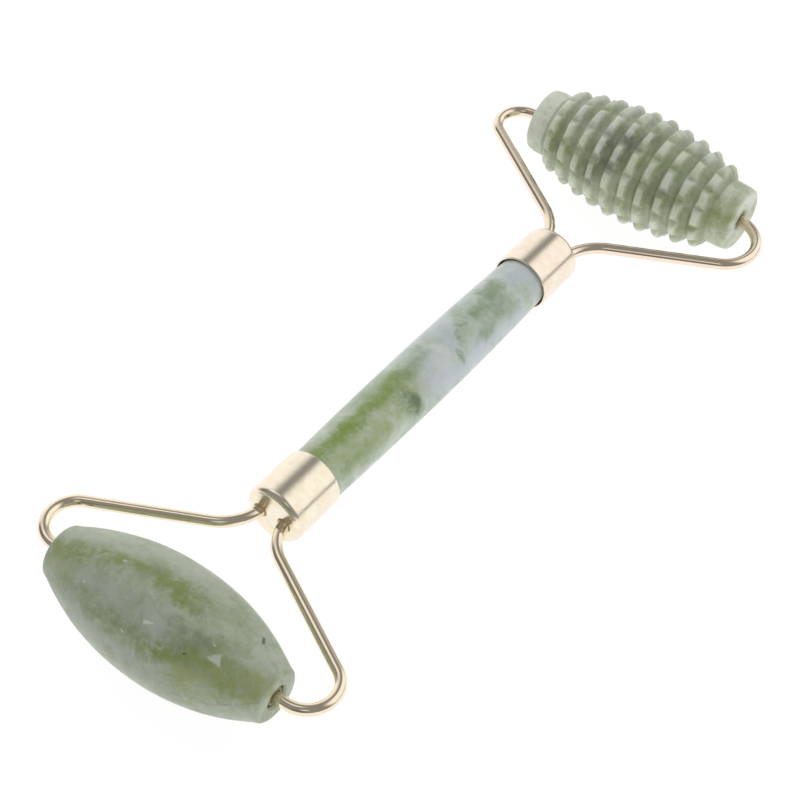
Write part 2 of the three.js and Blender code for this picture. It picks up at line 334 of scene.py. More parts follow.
def jade(name, streaks, palette, grain=1.0, mottle=0.55, broken=0.85, milky=0.55):
    """Mottled stone. Each streak is (tint, points, radius, softness, strength).

    grain is how fine the clouds are, mottle and milky how much green and milk they carry, and
    broken how far the streaks are eaten away by gaps.
    """
    s = Shader(name)
    place = s.place_mm()
    bent = s.warped(s.warped(place, 0.11, 5.0), 0.45, 2.2)
    clouds = s.noise(bent, 0.16 * grain, 5.0, 0.6)
    fine = s.noise(bent, 0.75 * grain, 5.0, 0.62)
    tone = s.mix(s.ramp(clouds, 0.38, 0.62), palette["base"], palette["pale"])
    tone = s.mix(s.math("MULTIPLY", s.ramp(fine, 0.42, 0.72), milky), tone, palette["milk"])
    drift = s.ramp(s.noise(bent, 0.34 * grain, 5.0, 0.65), 0.46, 0.70)
    tone = s.mix(s.math("MULTIPLY", drift, mottle), tone, palette["green"])
    # streaks of colour, broken up by a finer cloud
    frayed = s.warped(s.warped(place, 0.28, 4.0), 1.3, 1.5)
    patchy = s.ramp(s.noise(place, 0.55, 5.0, 0.68), 0.34, 0.62, 1 - broken, 1.0)
    for tint, points, radius, softness, strength in streaks:
        amount = None
        for start, end in zip(points, points[1:]):
            part = s.streak(frayed, row_mm(start), row_mm(end), radius, softness)
            amount = part if amount is None else s.math("MAXIMUM", amount, part)
        amount = s.math("MULTIPLY", s.math("MULTIPLY", amount, patchy), strength)
        tone = s.mix(amount, tone, palette[tint])
    # thin darker veins and a fine speckle through the whole stone
    ridge = s.math("ABSOLUTE", s.math("SUBTRACT", s.noise(bent, 0.22, 3.0, 0.5), 0.5))
    vein = s.math("MULTIPLY", s.ramp(ridge, 0.05, 0.0), s.ramp(clouds, 0.5, 0.34))
    tone = s.mix(s.math("MULTIPLY", vein, 0.16), tone, palette["vein"])
    speckle = s.noise(place, 3.2, 4.0, 0.7)
    tone = s.mix(s.math("MULTIPLY", s.ramp(speckle, 0.60, 0.80), 0.35), tone, palette["milk"])
    tone = s.mix(s.math("MULTIPLY", s.ramp(speckle, 0.42, 0.24), 0.30), tone, palette["vein"])
    return s, place, tone


def chips(s, place, tone, spots, tint, strength=0.6):
    """Small hard-edged marks. Each spot is (start, end, size)."""
    ragged = s.warped(place, 2.6, 0.45)
    for start, end, size in spots:
        amount = s.streak(ragged, row_mm(start), row_mm(end), size, 0.7)
        tone = s.mix(s.math("MULTIPLY", amount, strength), tone, tint)
    return tone


def fleck(s, place, corners, out, soft):
    """1 inside a three-cornered fleck; out is a point straight above its middle."""
    ragged = s.warped(place, 1.7, 0.75)
    corners = [Vector(row_mm(corner)) for corner in corners]
    middle = sum(corners, Vector()) / 3
    out = Vector(row_mm(out)) - middle
    amount = s.ramp(s.vector("LENGTH", s.vector("SUBTRACT", place, middle)), 2.2, 1.8)
    for start, end in zip(corners, corners[1:] + corners[:1]):
        inward = (end - start).cross(out).normalized()
        if inward.dot(middle - start) < 0:
            inward = -inward
        depth = s.vector("DOT_PRODUCT", s.vector("SUBTRACT", ragged, start), inward)
        amount = s.math("MULTIPLY", amount, s.ramp(depth, -soft, soft))
    return amount


def polish(s, place, tone, roughness=0.40, turning=None):
    """The satin surface: fine pits, a faint orange peel, uneven gloss and any turning lines given.
    """
    haze = s.noise(place, 0.9, 4.0, 0.6)
    pits = s.cells(s.warped(place, 2.0, 0.5), 1.4)
    pit = s.ramp(pits, 0.10, 0.02)
    orange_peel = s.noise(place, 2.4, 3.0, 0.55)
    height = s.math("SUBTRACT", s.math("MULTIPLY", orange_peel, 0.5), s.math("MULTIPLY", pit, 0.6))
    if turning is not None:
        height = s.math("ADD", height, turning)
    s.set(Base_Color=tone,
          Roughness=s.ramp(haze, 0.3, 0.7, roughness - 0.07, roughness + 0.09),
          Normal=s.bump(height, 0.35, 0.05),
          IOR=1.6,
          Specular_IOR_Level=0.5,
          Subsurface_Weight=0.22,
          Subsurface_Scale=1.1 * MM,
          Coat_Weight=0.12,
          Coat_Roughness=0.3)
    s.surface.inputs["Subsurface Radius"].default_value = (1.0, 1.15, 0.8)
    return s.material


def barrel_radius(x):
    """Radius of the smooth roller at x from its middle."""
    s = x / (SMOOTH["length"] / 2)
    grown = (SMOOTH["radius"] - SMOOTH["end"]) * (1 - abs(s) ** SMOOTH["power"])
    return SMOOTH["end"] + grown + SMOOTH["skew"] * s * (1 - s * s)


def on_smooth(x, turn, above=0.0):
    """A point of the smooth roller's surface; turn is from the top, in degrees, towards +Y."""
    radius = barrel_radius(x - SMOOTH["offset"]) + above
    angle = math.radians(turn)
    return (x, radius * math.sin(angle), radius * math.cos(angle))


def on_ridged(x, turn, radius=9.6):
    angle = math.radians(turn)
    return (x, SPAN + radius * math.sin(angle), radius * math.cos(angle))


def on_handle(y, turn, radius=5.0):
    """y is from the smooth cap's closed end; turn is from the top, towards +X."""
    angle = math.radians(turn)
    return (radius * math.sin(angle), SMOOTH_CAP_Y + y, radius * math.cos(angle))


ROLLER_TONES = {
    "base": colour(145, 157, 128), "pale": colour(166, 175, 156), "milk": colour(182, 189, 171),
    "olive": colour(122, 138, 72), "green": colour(120, 134, 90), "grey": colour(124, 130, 114),
    "pale_blue": colour(164, 171, 163), "vein": colour(90, 100, 74), "dark": colour(58, 66, 50),
    "lime": colour(144, 155, 100),
}
# the ridged roller's tones are a paler copy of the roller stone: partly its own lighter stone,
# partly painted light that lifts the shade between its rings
RIDGED_TONES = dict(
    ROLLER_TONES, base=colour(178, 188, 156), pale=colour(206, 213, 194),
    milk=colour(218, 222, 208), olive=colour(144, 158, 88), green=colour(140, 154, 106),
    grey=colour(106, 110, 106), pale_blue=colour(196, 199, 202), vein=colour(100, 110, 86),
    # cut: the grooves' darker tone, partly their unpolished stone and partly painted shade
    cut=colour(126, 138, 100),
)
HANDLE_TONES = dict(
    ROLLER_TONES, base=colour(170, 184, 164), pale=colour(202, 211, 204),
    milk=colour(208, 214, 210), olive=colour(126, 148, 66), green=colour(132, 153, 120),
    grass=colour(158, 172, 120), blue=colour(198, 204, 215), vein=colour(100, 117, 90),
    dark=colour(66, 82, 56), forest=colour(96, 116, 74),
)


def smooth_jade():
    p = on_smooth
    streaks = [
        ("pale_blue", [p(-15, -50), p(-6, -38), p(4, -36)], 5.0, 0.9, 0.75),
        ("pale", [p(-16, 30), p(-4, 36), p(8, 34)], 5.0, 0.8, 0.8),
        ("green", [p(-19, -28), p(-12, -12), p(-4, 2), p(6, 2)], 3.4, 0.9, 0.8),
        ("olive", [p(-18, -28), p(-14, -16), p(-9, -6)], 2.3, 0.9, 0.8),
        ("olive", [p(-7, -2), p(-4, 3)], 2.1, 0.9, 0.95),
        ("olive", [p(-1, 2), p(2, 6), p(6, -4)], 2.1, 0.9, 0.9),
        ("green", [p(-15, -62), p(-6, -56), p(4, -56), p(10, -46), p(18, -40)], 3.2, 0.9, 0.85),
        ("olive", [p(4, -58), p(9, -46), p(14, -32)], 2.2, 0.9, 0.85),
        ("lime", [p(10, -66), p(16, -50), p(20, -32)], 4.2, 0.9, 0.9),
        ("olive", [p(13, -72), p(17, -56)], 2.0, 0.9, 0.7),
        ("olive", [p(10, -22), p(14, -18)], 1.5, 0.9, 0.6),
        ("lime", [p(-18, -45), p(-13, -38)], 3.0, 0.9, 0.5),
        ("grey", [p(6, -32), p(11, -24)], 2.6, 0.9, 0.8),
        ("pale", [p(12, -4), p(16, 2)], 3.0, 0.9, 0.7),
        ("pale", [p(13, -68), p(15, -66)], 1.6, 0.8, 0.6),
        ("pale_blue", [p(-12, -76), p(-2, -80), p(8, -82)], 3.4, 0.9, 0.6),
        ("green", [p(0, 100), p(12, 130), p(18, 170)], 3.4, 0.9, 0.8),
        ("olive", [p(-14, 120), p(-4, 150), p(6, 190)], 2.4, 0.9, 0.8),
        ("green", [p(-16, -120), p(-2, -140), p(12, -120)], 3.0, 0.9, 0.8),
    ]
    s, place, tone = jade("jade_smooth_roller", streaks, ROLLER_TONES)
    white = colour(206, 212, 204)
    triangle = [p(12.2, -33.6), p(14.5, -36), p(13.8, -22.5)]
    wedge = fleck(s, place, triangle, on_smooth(13.4, -30, 4.0), 0.24)
    tone = s.mix(s.math("MULTIPLY", wedge, 0.55), tone, white)
    tone = chips(s, place, tone, [
        (p(2.0, -38), p(2.5, -36.5), 0.42), (p(3.0, -35.5), p(3.2, -35), 0.28),
        (p(-10.3, -41), p(-10.2, -41), 0.26), (p(-6.9, -3), p(-6.5, -2), 0.24),
        (p(-0.8, -56), p(-0.4, -56), 0.22), (p(12.2, -20), p(12.5, -20), 0.2),
    ], white)
    tone = chips(s, place, tone, [
        (p(16.1, 31), p(16.6, 25), 0.42), (p(9.2, -43), p(9.6, -42), 0.2),
    ], ROLLER_TONES["dark"], strength=0.8)
    scratch = [(p(16.9, -79), p(21.0, -55), 0.2)]
    tone = chips(s, place, tone, scratch, ROLLER_TONES["vein"], strength=0.6)
    return polish(s, place, tone)


def ridged_jade():
    p = on_ridged
    streaks = [
        ("pale_blue", [p(-12, -20), p(-6, -30)], 4.0, 0.9, 0.6),
        ("pale_blue", [p(-13, 26), p(0, 28), p(12, 20)], 4.0, 0.9, 0.7),
        ("grey", [p(-6, -78), p(-4, -50), p(-2, -20)], 3.8, 0.9, 0.95),
        ("grey", [p(-3, -60), p(2, -8)], 2.6, 0.9, 0.8),
        ("grey", [p(6, -70), p(9, -60)], 3.0, 0.9, 0.7),
        ("olive", [p(-17, -60, 8), p(-15, -30, 9)], 2.2, 0.9, 0.7),
        ("olive", [p(0, -55), p(4, -30)], 2.0, 0.9, 0.6),
        ("pale_blue", [p(9, -45), p(14, -35)], 2.4, 0.9, 0.8),
        ("green", [p(6, -80), p(12, -60), p(15, -50)], 3.4, 0.9, 0.85),
        ("green", [p(-16, -70, 7), p(-12, -60), p(-6, -70)], 3.0, 0.9, 0.65),
        ("olive", [p(-14, -90), p(-11, -50)], 2.2, 0.9, 0.6),
        ("green", [p(2, -95), p(6, -45), p(12, -15)], 3.0, 0.9, 0.7),
        ("olive", [p(14, -100, 7), p(18, -60, 6), p(20, -50, 6)], 3.0, 0.9, 0.75),
        ("pale", [p(14, -10), p(18, 0)], 3.0, 0.9, 0.7),
        ("milk", [p(-21, -60, 6), p(-18, -12, 7)], 6.0, 0.8, 1.0),
        ("milk", [p(21.4, -50, 3.6), p(21.4, 0, 3.8), p(21.4, 45, 3.6)], 1.9, 0.4, 1.0),
        # this dark patch by the bore on the right end face is painted shadow in the bore's mouth
        ("dark", [p(21.4, 15, 2.3), p(21.4, -15, 2.2)], 0.7, 0.9, 0.6),
        ("green", [p(-8, 100), p(2, 140), p(14, 180)], 3.4, 0.9, 0.8),
        ("grey", [p(-10, 180), p(0, 200)], 3.0, 0.9, 0.7),
    ]
    s, place, tone = jade("jade_ridged_roller", streaks, RIDGED_TONES, grain=1.2, mottle=0.5,
                          broken=0.62)
    # the grooves keep their unpolished cut with fine turning lines; their darker tone is partly that
    # duller cut and partly painted shade in the recesses
    centre = row_mm((0, SPAN, 0))
    flat = s.vector("MULTIPLY", s.vector("SUBTRACT", place, centre), (0.0, 1.0, 1.0))
    depth = s.vector("LENGTH", flat)
    along = s.vector("DOT_PRODUCT", place, (1.0, 0.0, 0.0))
    middle = s.math("MULTIPLY", s.math("SUBTRACT", along, RIDGED["shift"]),
                    2 / ((RIDGED["rings"] - 1) * RIDGED["pitch"]))
    crest = s.math("SUBTRACT", RIDGED["radius"],
                   s.math("MULTIPLY", s.math("MULTIPLY", middle, middle), RIDGED["drop"]))
    below = s.math("SUBTRACT", crest, depth)
    groove = s.ramp(below, 0.30, 1.15)
    ends = s.ramp(s.math("ABSOLUTE", middle), 1.10, 1.14, 1.0, 0.0)
    groove = s.math("MULTIPLY", groove, ends)
    tone = s.mix(s.math("MULTIPLY", groove, 0.50), tone, RIDGED_TONES["cut"])
    # the crests are paled towards milk: partly rubbed wear, partly a painted highlight on the lands
    worn = s.math("MULTIPLY", s.ramp(below, 0.50, 0.10), ends)
    tone = s.mix(s.math("MULTIPLY", worn, 0.5), tone, RIDGED_TONES["milk"])
    wave = s.noise(s.vector("MULTIPLY", place, (1.0, 0.04, 0.04)), 3.4, 2.0, 0.6)
    turning = s.math("MULTIPLY", s.math("MULTIPLY", wave, groove), 0.9)
    return polish(s, place, tone, 0.46, turning)


def handle_jade():
    p = on_handle
    streaks = [
        ("grass", [p(8, 10), p(20, 30), p(31, 20)], 6.5, 0.7, 0.85),
        ("olive", [p(10, -2), p(20, 2), p(29, 2), p(33, 0)], 2.3, 0.85, 0.85),
        ("olive", [p(16, 4), p(20, 6)], 1.7, 0.9, 0.9),
        ("olive", [p(13, 58), p(24, 58)], 1.8, 0.95, 0.45),
        ("forest", [p(30, 36), p(31, 66)], 2.7, 0.95, 0.8),
        ("dark", [p(30.6, 48), p(31, 60)], 1.5, 0.95, 0.7),
        ("green", [p(33, 10), p(38, 2), p(39, -25)], 2.0, 0.9, 0.6),
        ("blue", [p(36, 50), p(43, 20), p(46, -20)], 4.5, 0.9, 0.68),
        ("blue", [p(38, -70), p(66, -60)], 3.6, 0.8, 0.85),
        ("blue", [p(40, 75), p(60, 85)], 3.4, 0.8, 0.8),
        ("milk", [p(41, 4), p(42, 25), p(40, 40)], 1.9, 0.8, 0.9),
        ("green", [p(43.5, 58), p(45, 35), p(47, 12), p(50, 5)], 0.85, 0.9, 0.95),
        ("green", [p(52, 15), p(56, 5), p(60, -14)], 2.4, 0.9, 0.85),
        ("green", [p(50, 55), p(54, 45), p(57, 25)], 2.4, 0.9, 0.75),
        ("blue", [p(63, 10), p(66, 20)], 3.0, 0.9, 0.85),
        ("blue", [p(64, -40), p(66, 60)], 2.4, 0.9, 0.5),
        ("olive", [p(14, 180), p(26, 200), p(34, 220)], 2.6, 0.9, 0.7),
        ("green", [p(40, 180), p(52, 150), p(60, 190)], 2.6, 0.9, 0.8),
        ("dark", [p(46, 210), p(48, 230)], 1.6, 0.95, 0.6),
    ]
    s, place, tone = jade("jade_handle", streaks, HANDLE_TONES, mottle=0.28, broken=0.5, milky=0.38)
    tone = chips(s, place, tone, [
        (p(15.8, 3), p(16.7, -6), 0.16), (p(16.7, -6), p(17.2, -12), 0.14),
        (p(24, -22), p(24.4, -24), 0.16),
    ], colour(196, 206, 188))
    return polish(s, place, tone, 0.34)


# ---------------------------------------------------------------- metal, nylon, adhesive


THIN_PLATING = colour(232, 206, 176)
PIT_BROWN = colour(128, 104, 74)


def gold(name, base, worn, roughness, wear_scale=0.5, relief=0.12):
    """Polished champagne-gold plating, with hazy worn patches, thin spots and tiny pits."""
    s = Shader(name)
    place = s.place_mm()
    haze = s.noise(s.warped(place, 0.4, 1.5), wear_scale, 4.0, 0.6)
    fine = s.noise(place, 5.0, 3.0, 0.6)
    tone = s.mix(s.ramp(haze, 0.35, 0.68), base, worn)
    tone = s.mix(s.math("MULTIPLY", s.ramp(fine, 0.62, 0.78), 0.25), tone, THIN_PLATING)
    pits = s.ramp(s.cells(place, 1.1), 0.09, 0.03)
    tone = s.mix(s.math("MULTIPLY", pits, 0.35), tone, PIT_BROWN)
    gloss = s.ramp(haze, 0.3, 0.7, roughness, roughness + 0.05)
    height = s.math("SUBTRACT", s.math("MULTIPLY", fine, 0.35), pits)
    s.set(Base_Color=tone, Metallic=1.0, Roughness=gloss, Normal=s.bump(height, relief, 0.02))
    return s.material


def nylon():
    s = Shader("nylon")
    place = s.place_mm()
    mottle = s.noise(place, 1.4, 4.0, 0.6)
    # the bush's olive-brown is its own colour deepened by painted shade of the bore hollow it sits
    # in
    tone = s.mix(s.ramp(mottle, 0.3, 0.7), colour(112, 104, 74), colour(138, 130, 98))
    s.set(Base_Color=tone, Roughness=s.ramp(mottle, 0.3, 0.7, 0.42, 0.56),
          Normal=s.bump(s.noise(place, 6.0), 0.2, 0.02),
          Subsurface_Weight=0.3, Subsurface_Scale=0.5 * MM)
    return s.material


def epoxy():
    s = Shader("epoxy")
    place = s.place_mm()
    cloud = s.noise(place, 0.9, 4.0, 0.6)
    tone = s.mix(s.ramp(cloud, 0.3, 0.7), colour(150, 118, 70), colour(190, 160, 108))
    s.set(Base_Color=tone, Roughness=s.ramp(cloud, 0.3, 0.7, 0.18, 0.34),
          Normal=s.bump(s.noise(place, 2.0), 0.3, 0.05),
          Coat_Weight=0.4, Coat_Roughness=0.12)
    return s.material


# ---------------------------------------------------------------- stone pieces


def build_handle(material):
    """The barrelled rod, with its plain ends inside the caps."""
    mouth = (RIDGED_CAP_Y - SMOOTH_CAP_Y - 2 * CAP["length"]) / 2
    middle = (RIDGED_CAP_Y + SMOOTH_CAP_Y) / 2
    end = mouth + HANDLE["spigot"]
    chamfer = HANDLE["chamfer"]
    near, far = HANDLE["smooth_end"], HANDLE["ridged_end"]
    profile = [(0, -end), (near - chamfer, -end), (near, -end + chamfer)]
    for t in np.linspace(-1, 1, 97):
        radius = HANDLE["middle"] - (HANDLE["middle"] - (near if t < 0 else far)) * t * t
        profile.append((radius, t * mouth))
    profile += [(far, end - chamfer), (far - chamfer, end), (0, end)]
    points = turned(profile, 96, "Y", (0, middle))
    uneven(points, (0, None, 0), 0.02, 0.12)
    obj = add_mesh("jade_handle", points, grid_faces(*points.shape[:2], False))
    shade(obj)
    settle(obj, material, "frame", "handle")


def uneven(points, axis, amount, scale):
    """Moves each point in or out by a slow wave, as hand-ground stone has.

    axis is a point of the piece's axis, with None for the direction that it runs in.
    """
    flat = points.reshape(-1, 3)
    for p in flat:
        radial = np.array([0 if axis[k] is None else p[k] - axis[k] for k in range(3)])
        size = np.linalg.norm(radial)
        if size > EVEN_WITHIN:
            p += radial / size * amount * noise.noise(Vector(p) * scale)


def build_smooth_roller(material):
    half = SMOOTH["length"] / 2
    edge = SMOOTH["edge"]
    barrel = [(barrel_radius(x), x) for x in np.linspace(edge - half, half - edge, 121)]
    left, right = barrel[0][0] - edge, barrel[-1][0] - edge
    profile = [(STONE_BORE, -half + BORE_CHAMFER), (STONE_BORE + BORE_CHAMFER, -half)]
    profile += quarter(left, edge - half, edge, -90, -30, 8)
    profile += barrel[1:-1]
    profile += quarter(right, half - edge, edge, 30, 90, 8)
    profile += [(STONE_BORE + BORE_CHAMFER, half), (STONE_BORE, half - BORE_CHAMFER)]
    points = turned(profile, 128, "X", (SMOOTH["offset"], 0))
    uneven(points, (None, 0, 0), 0.05, 0.16)
    obj = add_mesh("jade_smooth_roller", points, grid_faces(*points.shape[:2], True))
    shade(obj)
    settle(obj, material, "smooth_roller_body", "smooth_roller")


def ridged_radius(x, turn):
    """Radius of the cut, toothed outline before its edges are rounded; turn is in degrees."""
    place = (x - RIDGED["shift"]) / RIDGED["pitch"] + (RIDGED["rings"] - 1) / 2
    ring = np.clip(np.round(place), 0, RIDGED["rings"] - 1)
    out = (place - (RIDGED["rings"] - 1) / 2) / ((RIDGED["rings"] - 1) / 2)
    envelope = RIDGED["radius"] - RIDGED["drop"] * out * out
    away = np.abs(place - ring) * RIDGED["pitch"]
    flank = np.clip((away - RIDGED["crest"] / 2) / RIDGED["flank"], 0, 1)
    tooth = 360 / RIDGED["teeth"]
    across = np.abs((turn + tooth / 2) % tooth - tooth / 2)
    notch = RIDGED["notch"] * np.clip(1 - across / (RIDGED["notch_angle"] / 2), 0, 1)
    cut_down = np.maximum(flank * RIDGED["groove"], notch)
    return np.maximum(envelope - cut_down, RIDGED["end"])


def build_ridged_roller(material):
    half = RIDGED["length"] / 2
    offset = RIDGED["offset"]
    pitch = RIDGED["pitch"]
    first = RIDGED["shift"] - RIDGED["rings"] * pitch / 2
    last = RIDGED["shift"] + RIDGED["rings"] * pitch / 2
    facing = RIDGED["end"] - RIDGED["face"]
    # places of points in half a pitch, in mm, and in half a tooth, in degrees
    within = np.array([0, .14, .28, .40, .52, .66, .80, .95, 1.08, 1.2, 1.32, 1.45, 1.6, 1.76])
    steps = sorted(set(np.round(np.concatenate([within, pitch - within]), 3)))
    xs = [first + i * pitch + s for i in range(RIDGED["rings"]) for s in steps[:-1]] + [last]
    tooth = 360 / RIDGED["teeth"]
    in_tooth = [0, .8, 1.7, 2.7, 3.9, 5.1, 6.3, 7.4, 8.4, 9.2, 10.2, 11.5, 13.2, 15]
    turns = sorted(set(in_tooth + [tooth - t for t in in_tooth[1:]]))
    turns = np.array([k * tooth + t for k in range(RIDGED["teeth"]) for t in turns])
    grid_x, grid_turn = np.meshgrid(xs, turns, indexing="ij")
    radius = np.zeros_like(grid_x)
    # averaging the outline over a small patch rounds its edges, as polishing does
    shifts = [(dx, dt) for dx in (-.2, -.1, 0, .1, .2) for dt in (-1.1, -.55, 0, .55, 1.1)]
    for dx, dt in shifts:
        radius += ridged_radius(grid_x + dx, grid_turn + dt) / len(shifts)
    angle = np.radians(grid_turn)
    body = np.stack([grid_x, radius * np.sin(angle) + SPAN, radius * np.cos(angle)], -1)
    # each tooth was cut by hand, so no two stand quite alike
    flat = body.reshape(-1, 3)
    stand = np.array([noise.noise(Vector((p[0] * 0.55, p[1] * 0.32, p[2] * 0.32))) for p in flat])
    radial = flat * (0, 1, 1) - (0, SPAN, 0)
    radial /= np.linalg.norm(radial, axis=1)[:, None]
    flat += radial * (TOOTH_UNEVEN * stand)[:, None]
    elsewhere = Vector((9, 3, 5))  # in the noise, so that the two waves differ
    sway = np.array([noise.noise(Vector(p) * 0.4 + elsewhere) for p in flat])
    flat[:, 0] += RING_UNEVEN * sway
    ends = []
    for sign in (-1, 1):
        rim = half + sign * offset
        profile = [(STONE_BORE, rim - BORE_CHAMFER), (STONE_BORE + BORE_CHAMFER, rim)]
        profile += quarter(RIDGED["face"] - 0.1, rim - facing, facing, 90, 30, 6)
        profile += [(RIDGED["end"] - 0.03, rim - facing - 0.5), (RIDGED["end"], rim - facing - 1.2)]
        rows = [[(sign * along, SPAN + r * math.sin(a), r * math.cos(a)) for a in np.radians(turns)]
                for r, along in profile]
        ends.append(rows if sign < 0 else rows[::-1])
    keep = (body[:, 0, 0] > ends[0][-1][0][0] + 0.05) & (body[:, 0, 0] < ends[1][0][0][0] - 0.05)
    points = np.concatenate([np.array(ends[0]), body[keep], np.array(ends[1])])
    obj = add_mesh("jade_ridged_roller", points, grid_faces(*points.shape[:2], True))
    shade(obj, 50)
    settle(obj, material, "ridged_roller_body", "ridged_roller")


# ---------------------------------------------------------------- metal pieces


def build_cap(name, node, y, inwards, material):
    """A drawn cup with a rounded closed end and two drilled holes. inwards is +1 or -1 along Y."""
    radius, edge, rim = CAP["radius"], CAP["edge"], CAP["rim"]
    inside = radius - CAP["wall"]
    corner = 0.6  # rounding inside, where the wall meets the closed end
    profile = [(0, 0), (2.2, 0), (radius - edge - 0.12, 0.0)]
    profile += quarter(radius - edge, edge, edge, -90, 0, 12)
    profile += [(radius, along) for along in np.linspace(edge + 0.15, CAP["length"] - 0.5, 12)]
    profile += quarter(radius - rim, CAP["length"] - rim, rim, 0, 90, 4)
    profile += [(inside + 0.08, CAP["length"]), (inside, CAP["length"] - 0.08)]
    profile += quarter(inside - corner, CAP["floor"] + corner, corner, 0, -90, 5)
    profile += [(0, CAP["floor"])]
    profile = [(r, inwards * along) for r, along in profile]
    points = turned(profile, 128, "Y", (0, y))
    obj = add_mesh(name, points, grid_faces(*points.shape[:2], False))
    for side in (-1, 1):
        ring = [(CAP_HOLE_RADIUS, -2.0), (CAP_HOLE_RADIUS, 2.0)]
        wall = turned(ring, WIRE_SIDES, "Y", (side * CAP_HOLE_X, y))
        cut(obj, add_mesh("hole_cutter", wall, capped_faces(2, WIRE_SIDES)))
    shade(obj, 35)
    settle(obj, material, "frame", node)


def build_glue_and_shade_bead(name, side, y, outwards, material):
    """The uneven bead round a wire where it enters a cap: adhesive, whose amber also stands in as
    painted reflection and shadow at the hole.
    """
    profile = [(0.96, -0.30), (0.98, 0.18), (1.04, 0.17), (1.12, 0.11), (1.24, 0.03), (1.28, -0.02)]
    profile = [(r, outwards * along) for r, along in profile]
    points = turned(profile, 40, "Y", (0, 0))
    for p in points.reshape(-1, 3):
        spread = 1 + 0.10 * noise.noise(Vector((p[0] * 0.7 + y, p[1], p[2] * 0.7 + side * 5)))
        if math.hypot(p[0], p[2]) > 1.03:
            p[[0, 2]] *= spread
    points += (side * (CAP_HOLE_X + 0.1), y, 0)
    obj = add_mesh(name, points, grid_faces(*points.shape[:2], True))
    shade(obj, 60)
    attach(obj, "frame")
    obj.data.materials.append(material)


def arc(centre, radius, start, end):
    """Points of an arc, from angle start to end in degrees."""
    steps = max(2, round(abs(end - start) / ARC_STEP))
    angles = np.radians(np.linspace(start, end, steps + 1))
    return [(centre[0] + radius * math.cos(a), centre[1] + radius * math.sin(a)) for a in angles]


def half_route(depth, arm, pin_end):
    """One side of a yoke, from the bridge's middle to the pin's end. x is out, y is off the cap."""
    slope, reach, pin_bend = arm
    a = math.radians(slope)
    bridge = (0, -CAP["floor"] - WIRE_RADIUS / 2)
    pin_centre = np.array([reach - pin_bend, depth - pin_bend])
    across = np.array([math.sin(a), -math.cos(a)])
    gap = pin_centre + across * pin_bend - (CAP_HOLE_X, -SHOULDER_START)
    shoulder = -gap.dot(across) / (1 - across[0])
    centre = (CAP_HOLE_X + shoulder, -SHOULDER_START)
    points = arc(bridge, CAP_HOLE_X, -90, 0)
    points += arc(centre, shoulder, 180, 90 + slope)
    points += arc(pin_centre, pin_bend, slope - 90, 90)
    points.append((pin_end, depth))
    return points


def resampled(points, step):
    """Extra points on the long straights, so that every stretch is short."""
    out = [points[0]]
    for a, b in zip(points, points[1:]):
        length = math.dist(a, b)
        if length < 1e-6:
            continue
        count = max(1, math.ceil(length / step))
        out += [tuple(np.array(a) + (np.array(b) - a) * k / count) for k in range(1, count + 1)]
    return out


def build_yoke(name, node, yoke, roller, cap_y, outwards, material):
    """A wire bent in the plane z = 0, from pin to pin, with its bridge inside the cap."""
    reach = {-1: roller["length"] / 2 - roller["offset"], 1: roller["length"] / 2 + roller["offset"]}
    left, right = (half_route(yoke["depth"], yoke[side], reach[side] - PIN_LENGTH)
                   for side in (-1, 1))
    line = [(-x, y) for x, y in left[:0:-1]] + right
    line = np.array(resampled([(x, cap_y + outwards * y) for x, y in line], WIRE_STEP))
    tangent = np.gradient(line, axis=0)
    tangent /= np.linalg.norm(tangent, axis=1)[:, None]
    normal = np.stack([-tangent[:, 1], tangent[:, 0]], -1)
    turn = np.linspace(0, 2 * math.pi, WIRE_SIDES, endpoint=False)
    points = np.zeros((len(line), WIRE_SIDES, 3))
    points[..., :2] = line[:, None] + WIRE_RADIUS * np.cos(turn)[None, :, None] * normal[:, None]
    points[..., 2] = WIRE_RADIUS * np.sin(turn)
    obj = add_mesh(name, points, capped_faces(len(line), WIRE_SIDES))
    shade(obj)
    settle(obj, material, "frame", node)


# ---------------------------------------------------------------- build

# the far end's plating is a shade pinker than the near end's
cap_gold = gold("gold_cap", colour(249, 240, 220), colour(245, 232, 208), 0.20)
cap_rose = gold("gold_cap_rose", colour(249, 237, 220), colour(245, 229, 209), 0.20)
wire_gold = gold("gold_wire", colour(247, 234, 209), colour(243, 229, 205), 0.065, 0.8, relief=0.05)
wire_rose = gold("gold_wire_rose", colour(248, 232, 211), colour(243, 227, 206), 0.065, 0.8,
                 relief=0.05)
build_handle(handle_jade())
build_smooth_roller(smooth_jade())
build_ridged_roller(ridged_jade())
build_cap("gold_cap_smooth", "smooth_end_cap", SMOOTH_CAP_Y, 1, cap_gold)
build_cap("gold_cap_ridged", "ridged_end_cap", RIDGED_CAP_Y, -1, cap_rose)
build_yoke("gold_wire_smooth", "smooth_yoke_wire", SMOOTH_YOKE, SMOOTH, SMOOTH_CAP_Y, -1, wire_gold)
build_yoke("gold_wire_ridged", "ridged_yoke_wire", RIDGED_YOKE, RIDGED, RIDGED_CAP_Y, 1, wire_rose)

kept = {"nylon": nylon(), "epoxy": epoxy()}
# amber beads round the wire holes: adhesive, and painted reflection and shadow at the holes
for side, hand in ((-1, "left"), (1, "right")):
    build_glue_and_shade_bead("glue_and_shade_smooth_" + hand, side, SMOOTH_CAP_Y, -1, kept["epoxy"])
    build_glue_and_shade_bead("glue_and_shade_ridged_" + hand, side, RIDGED_CAP_Y, 1, kept["epoxy"])
for node_name, node_object in frame["nodes"].items():
    for key, part in (("nylon", "bush"), ("epoxy", "adhesive")):
        if part in node_name:
            node_object.data.materials.clear()
            node_object.data.materials.append(kept[key])

# ---------------------------------------------------------------- floor, light, camera


FLOOR_HALF = 40.0  # metres, so that its far edge stays out of low views
FLOOR_GAP = 0.0002  # under the rollers
FLOOR_GLOW = 0.93


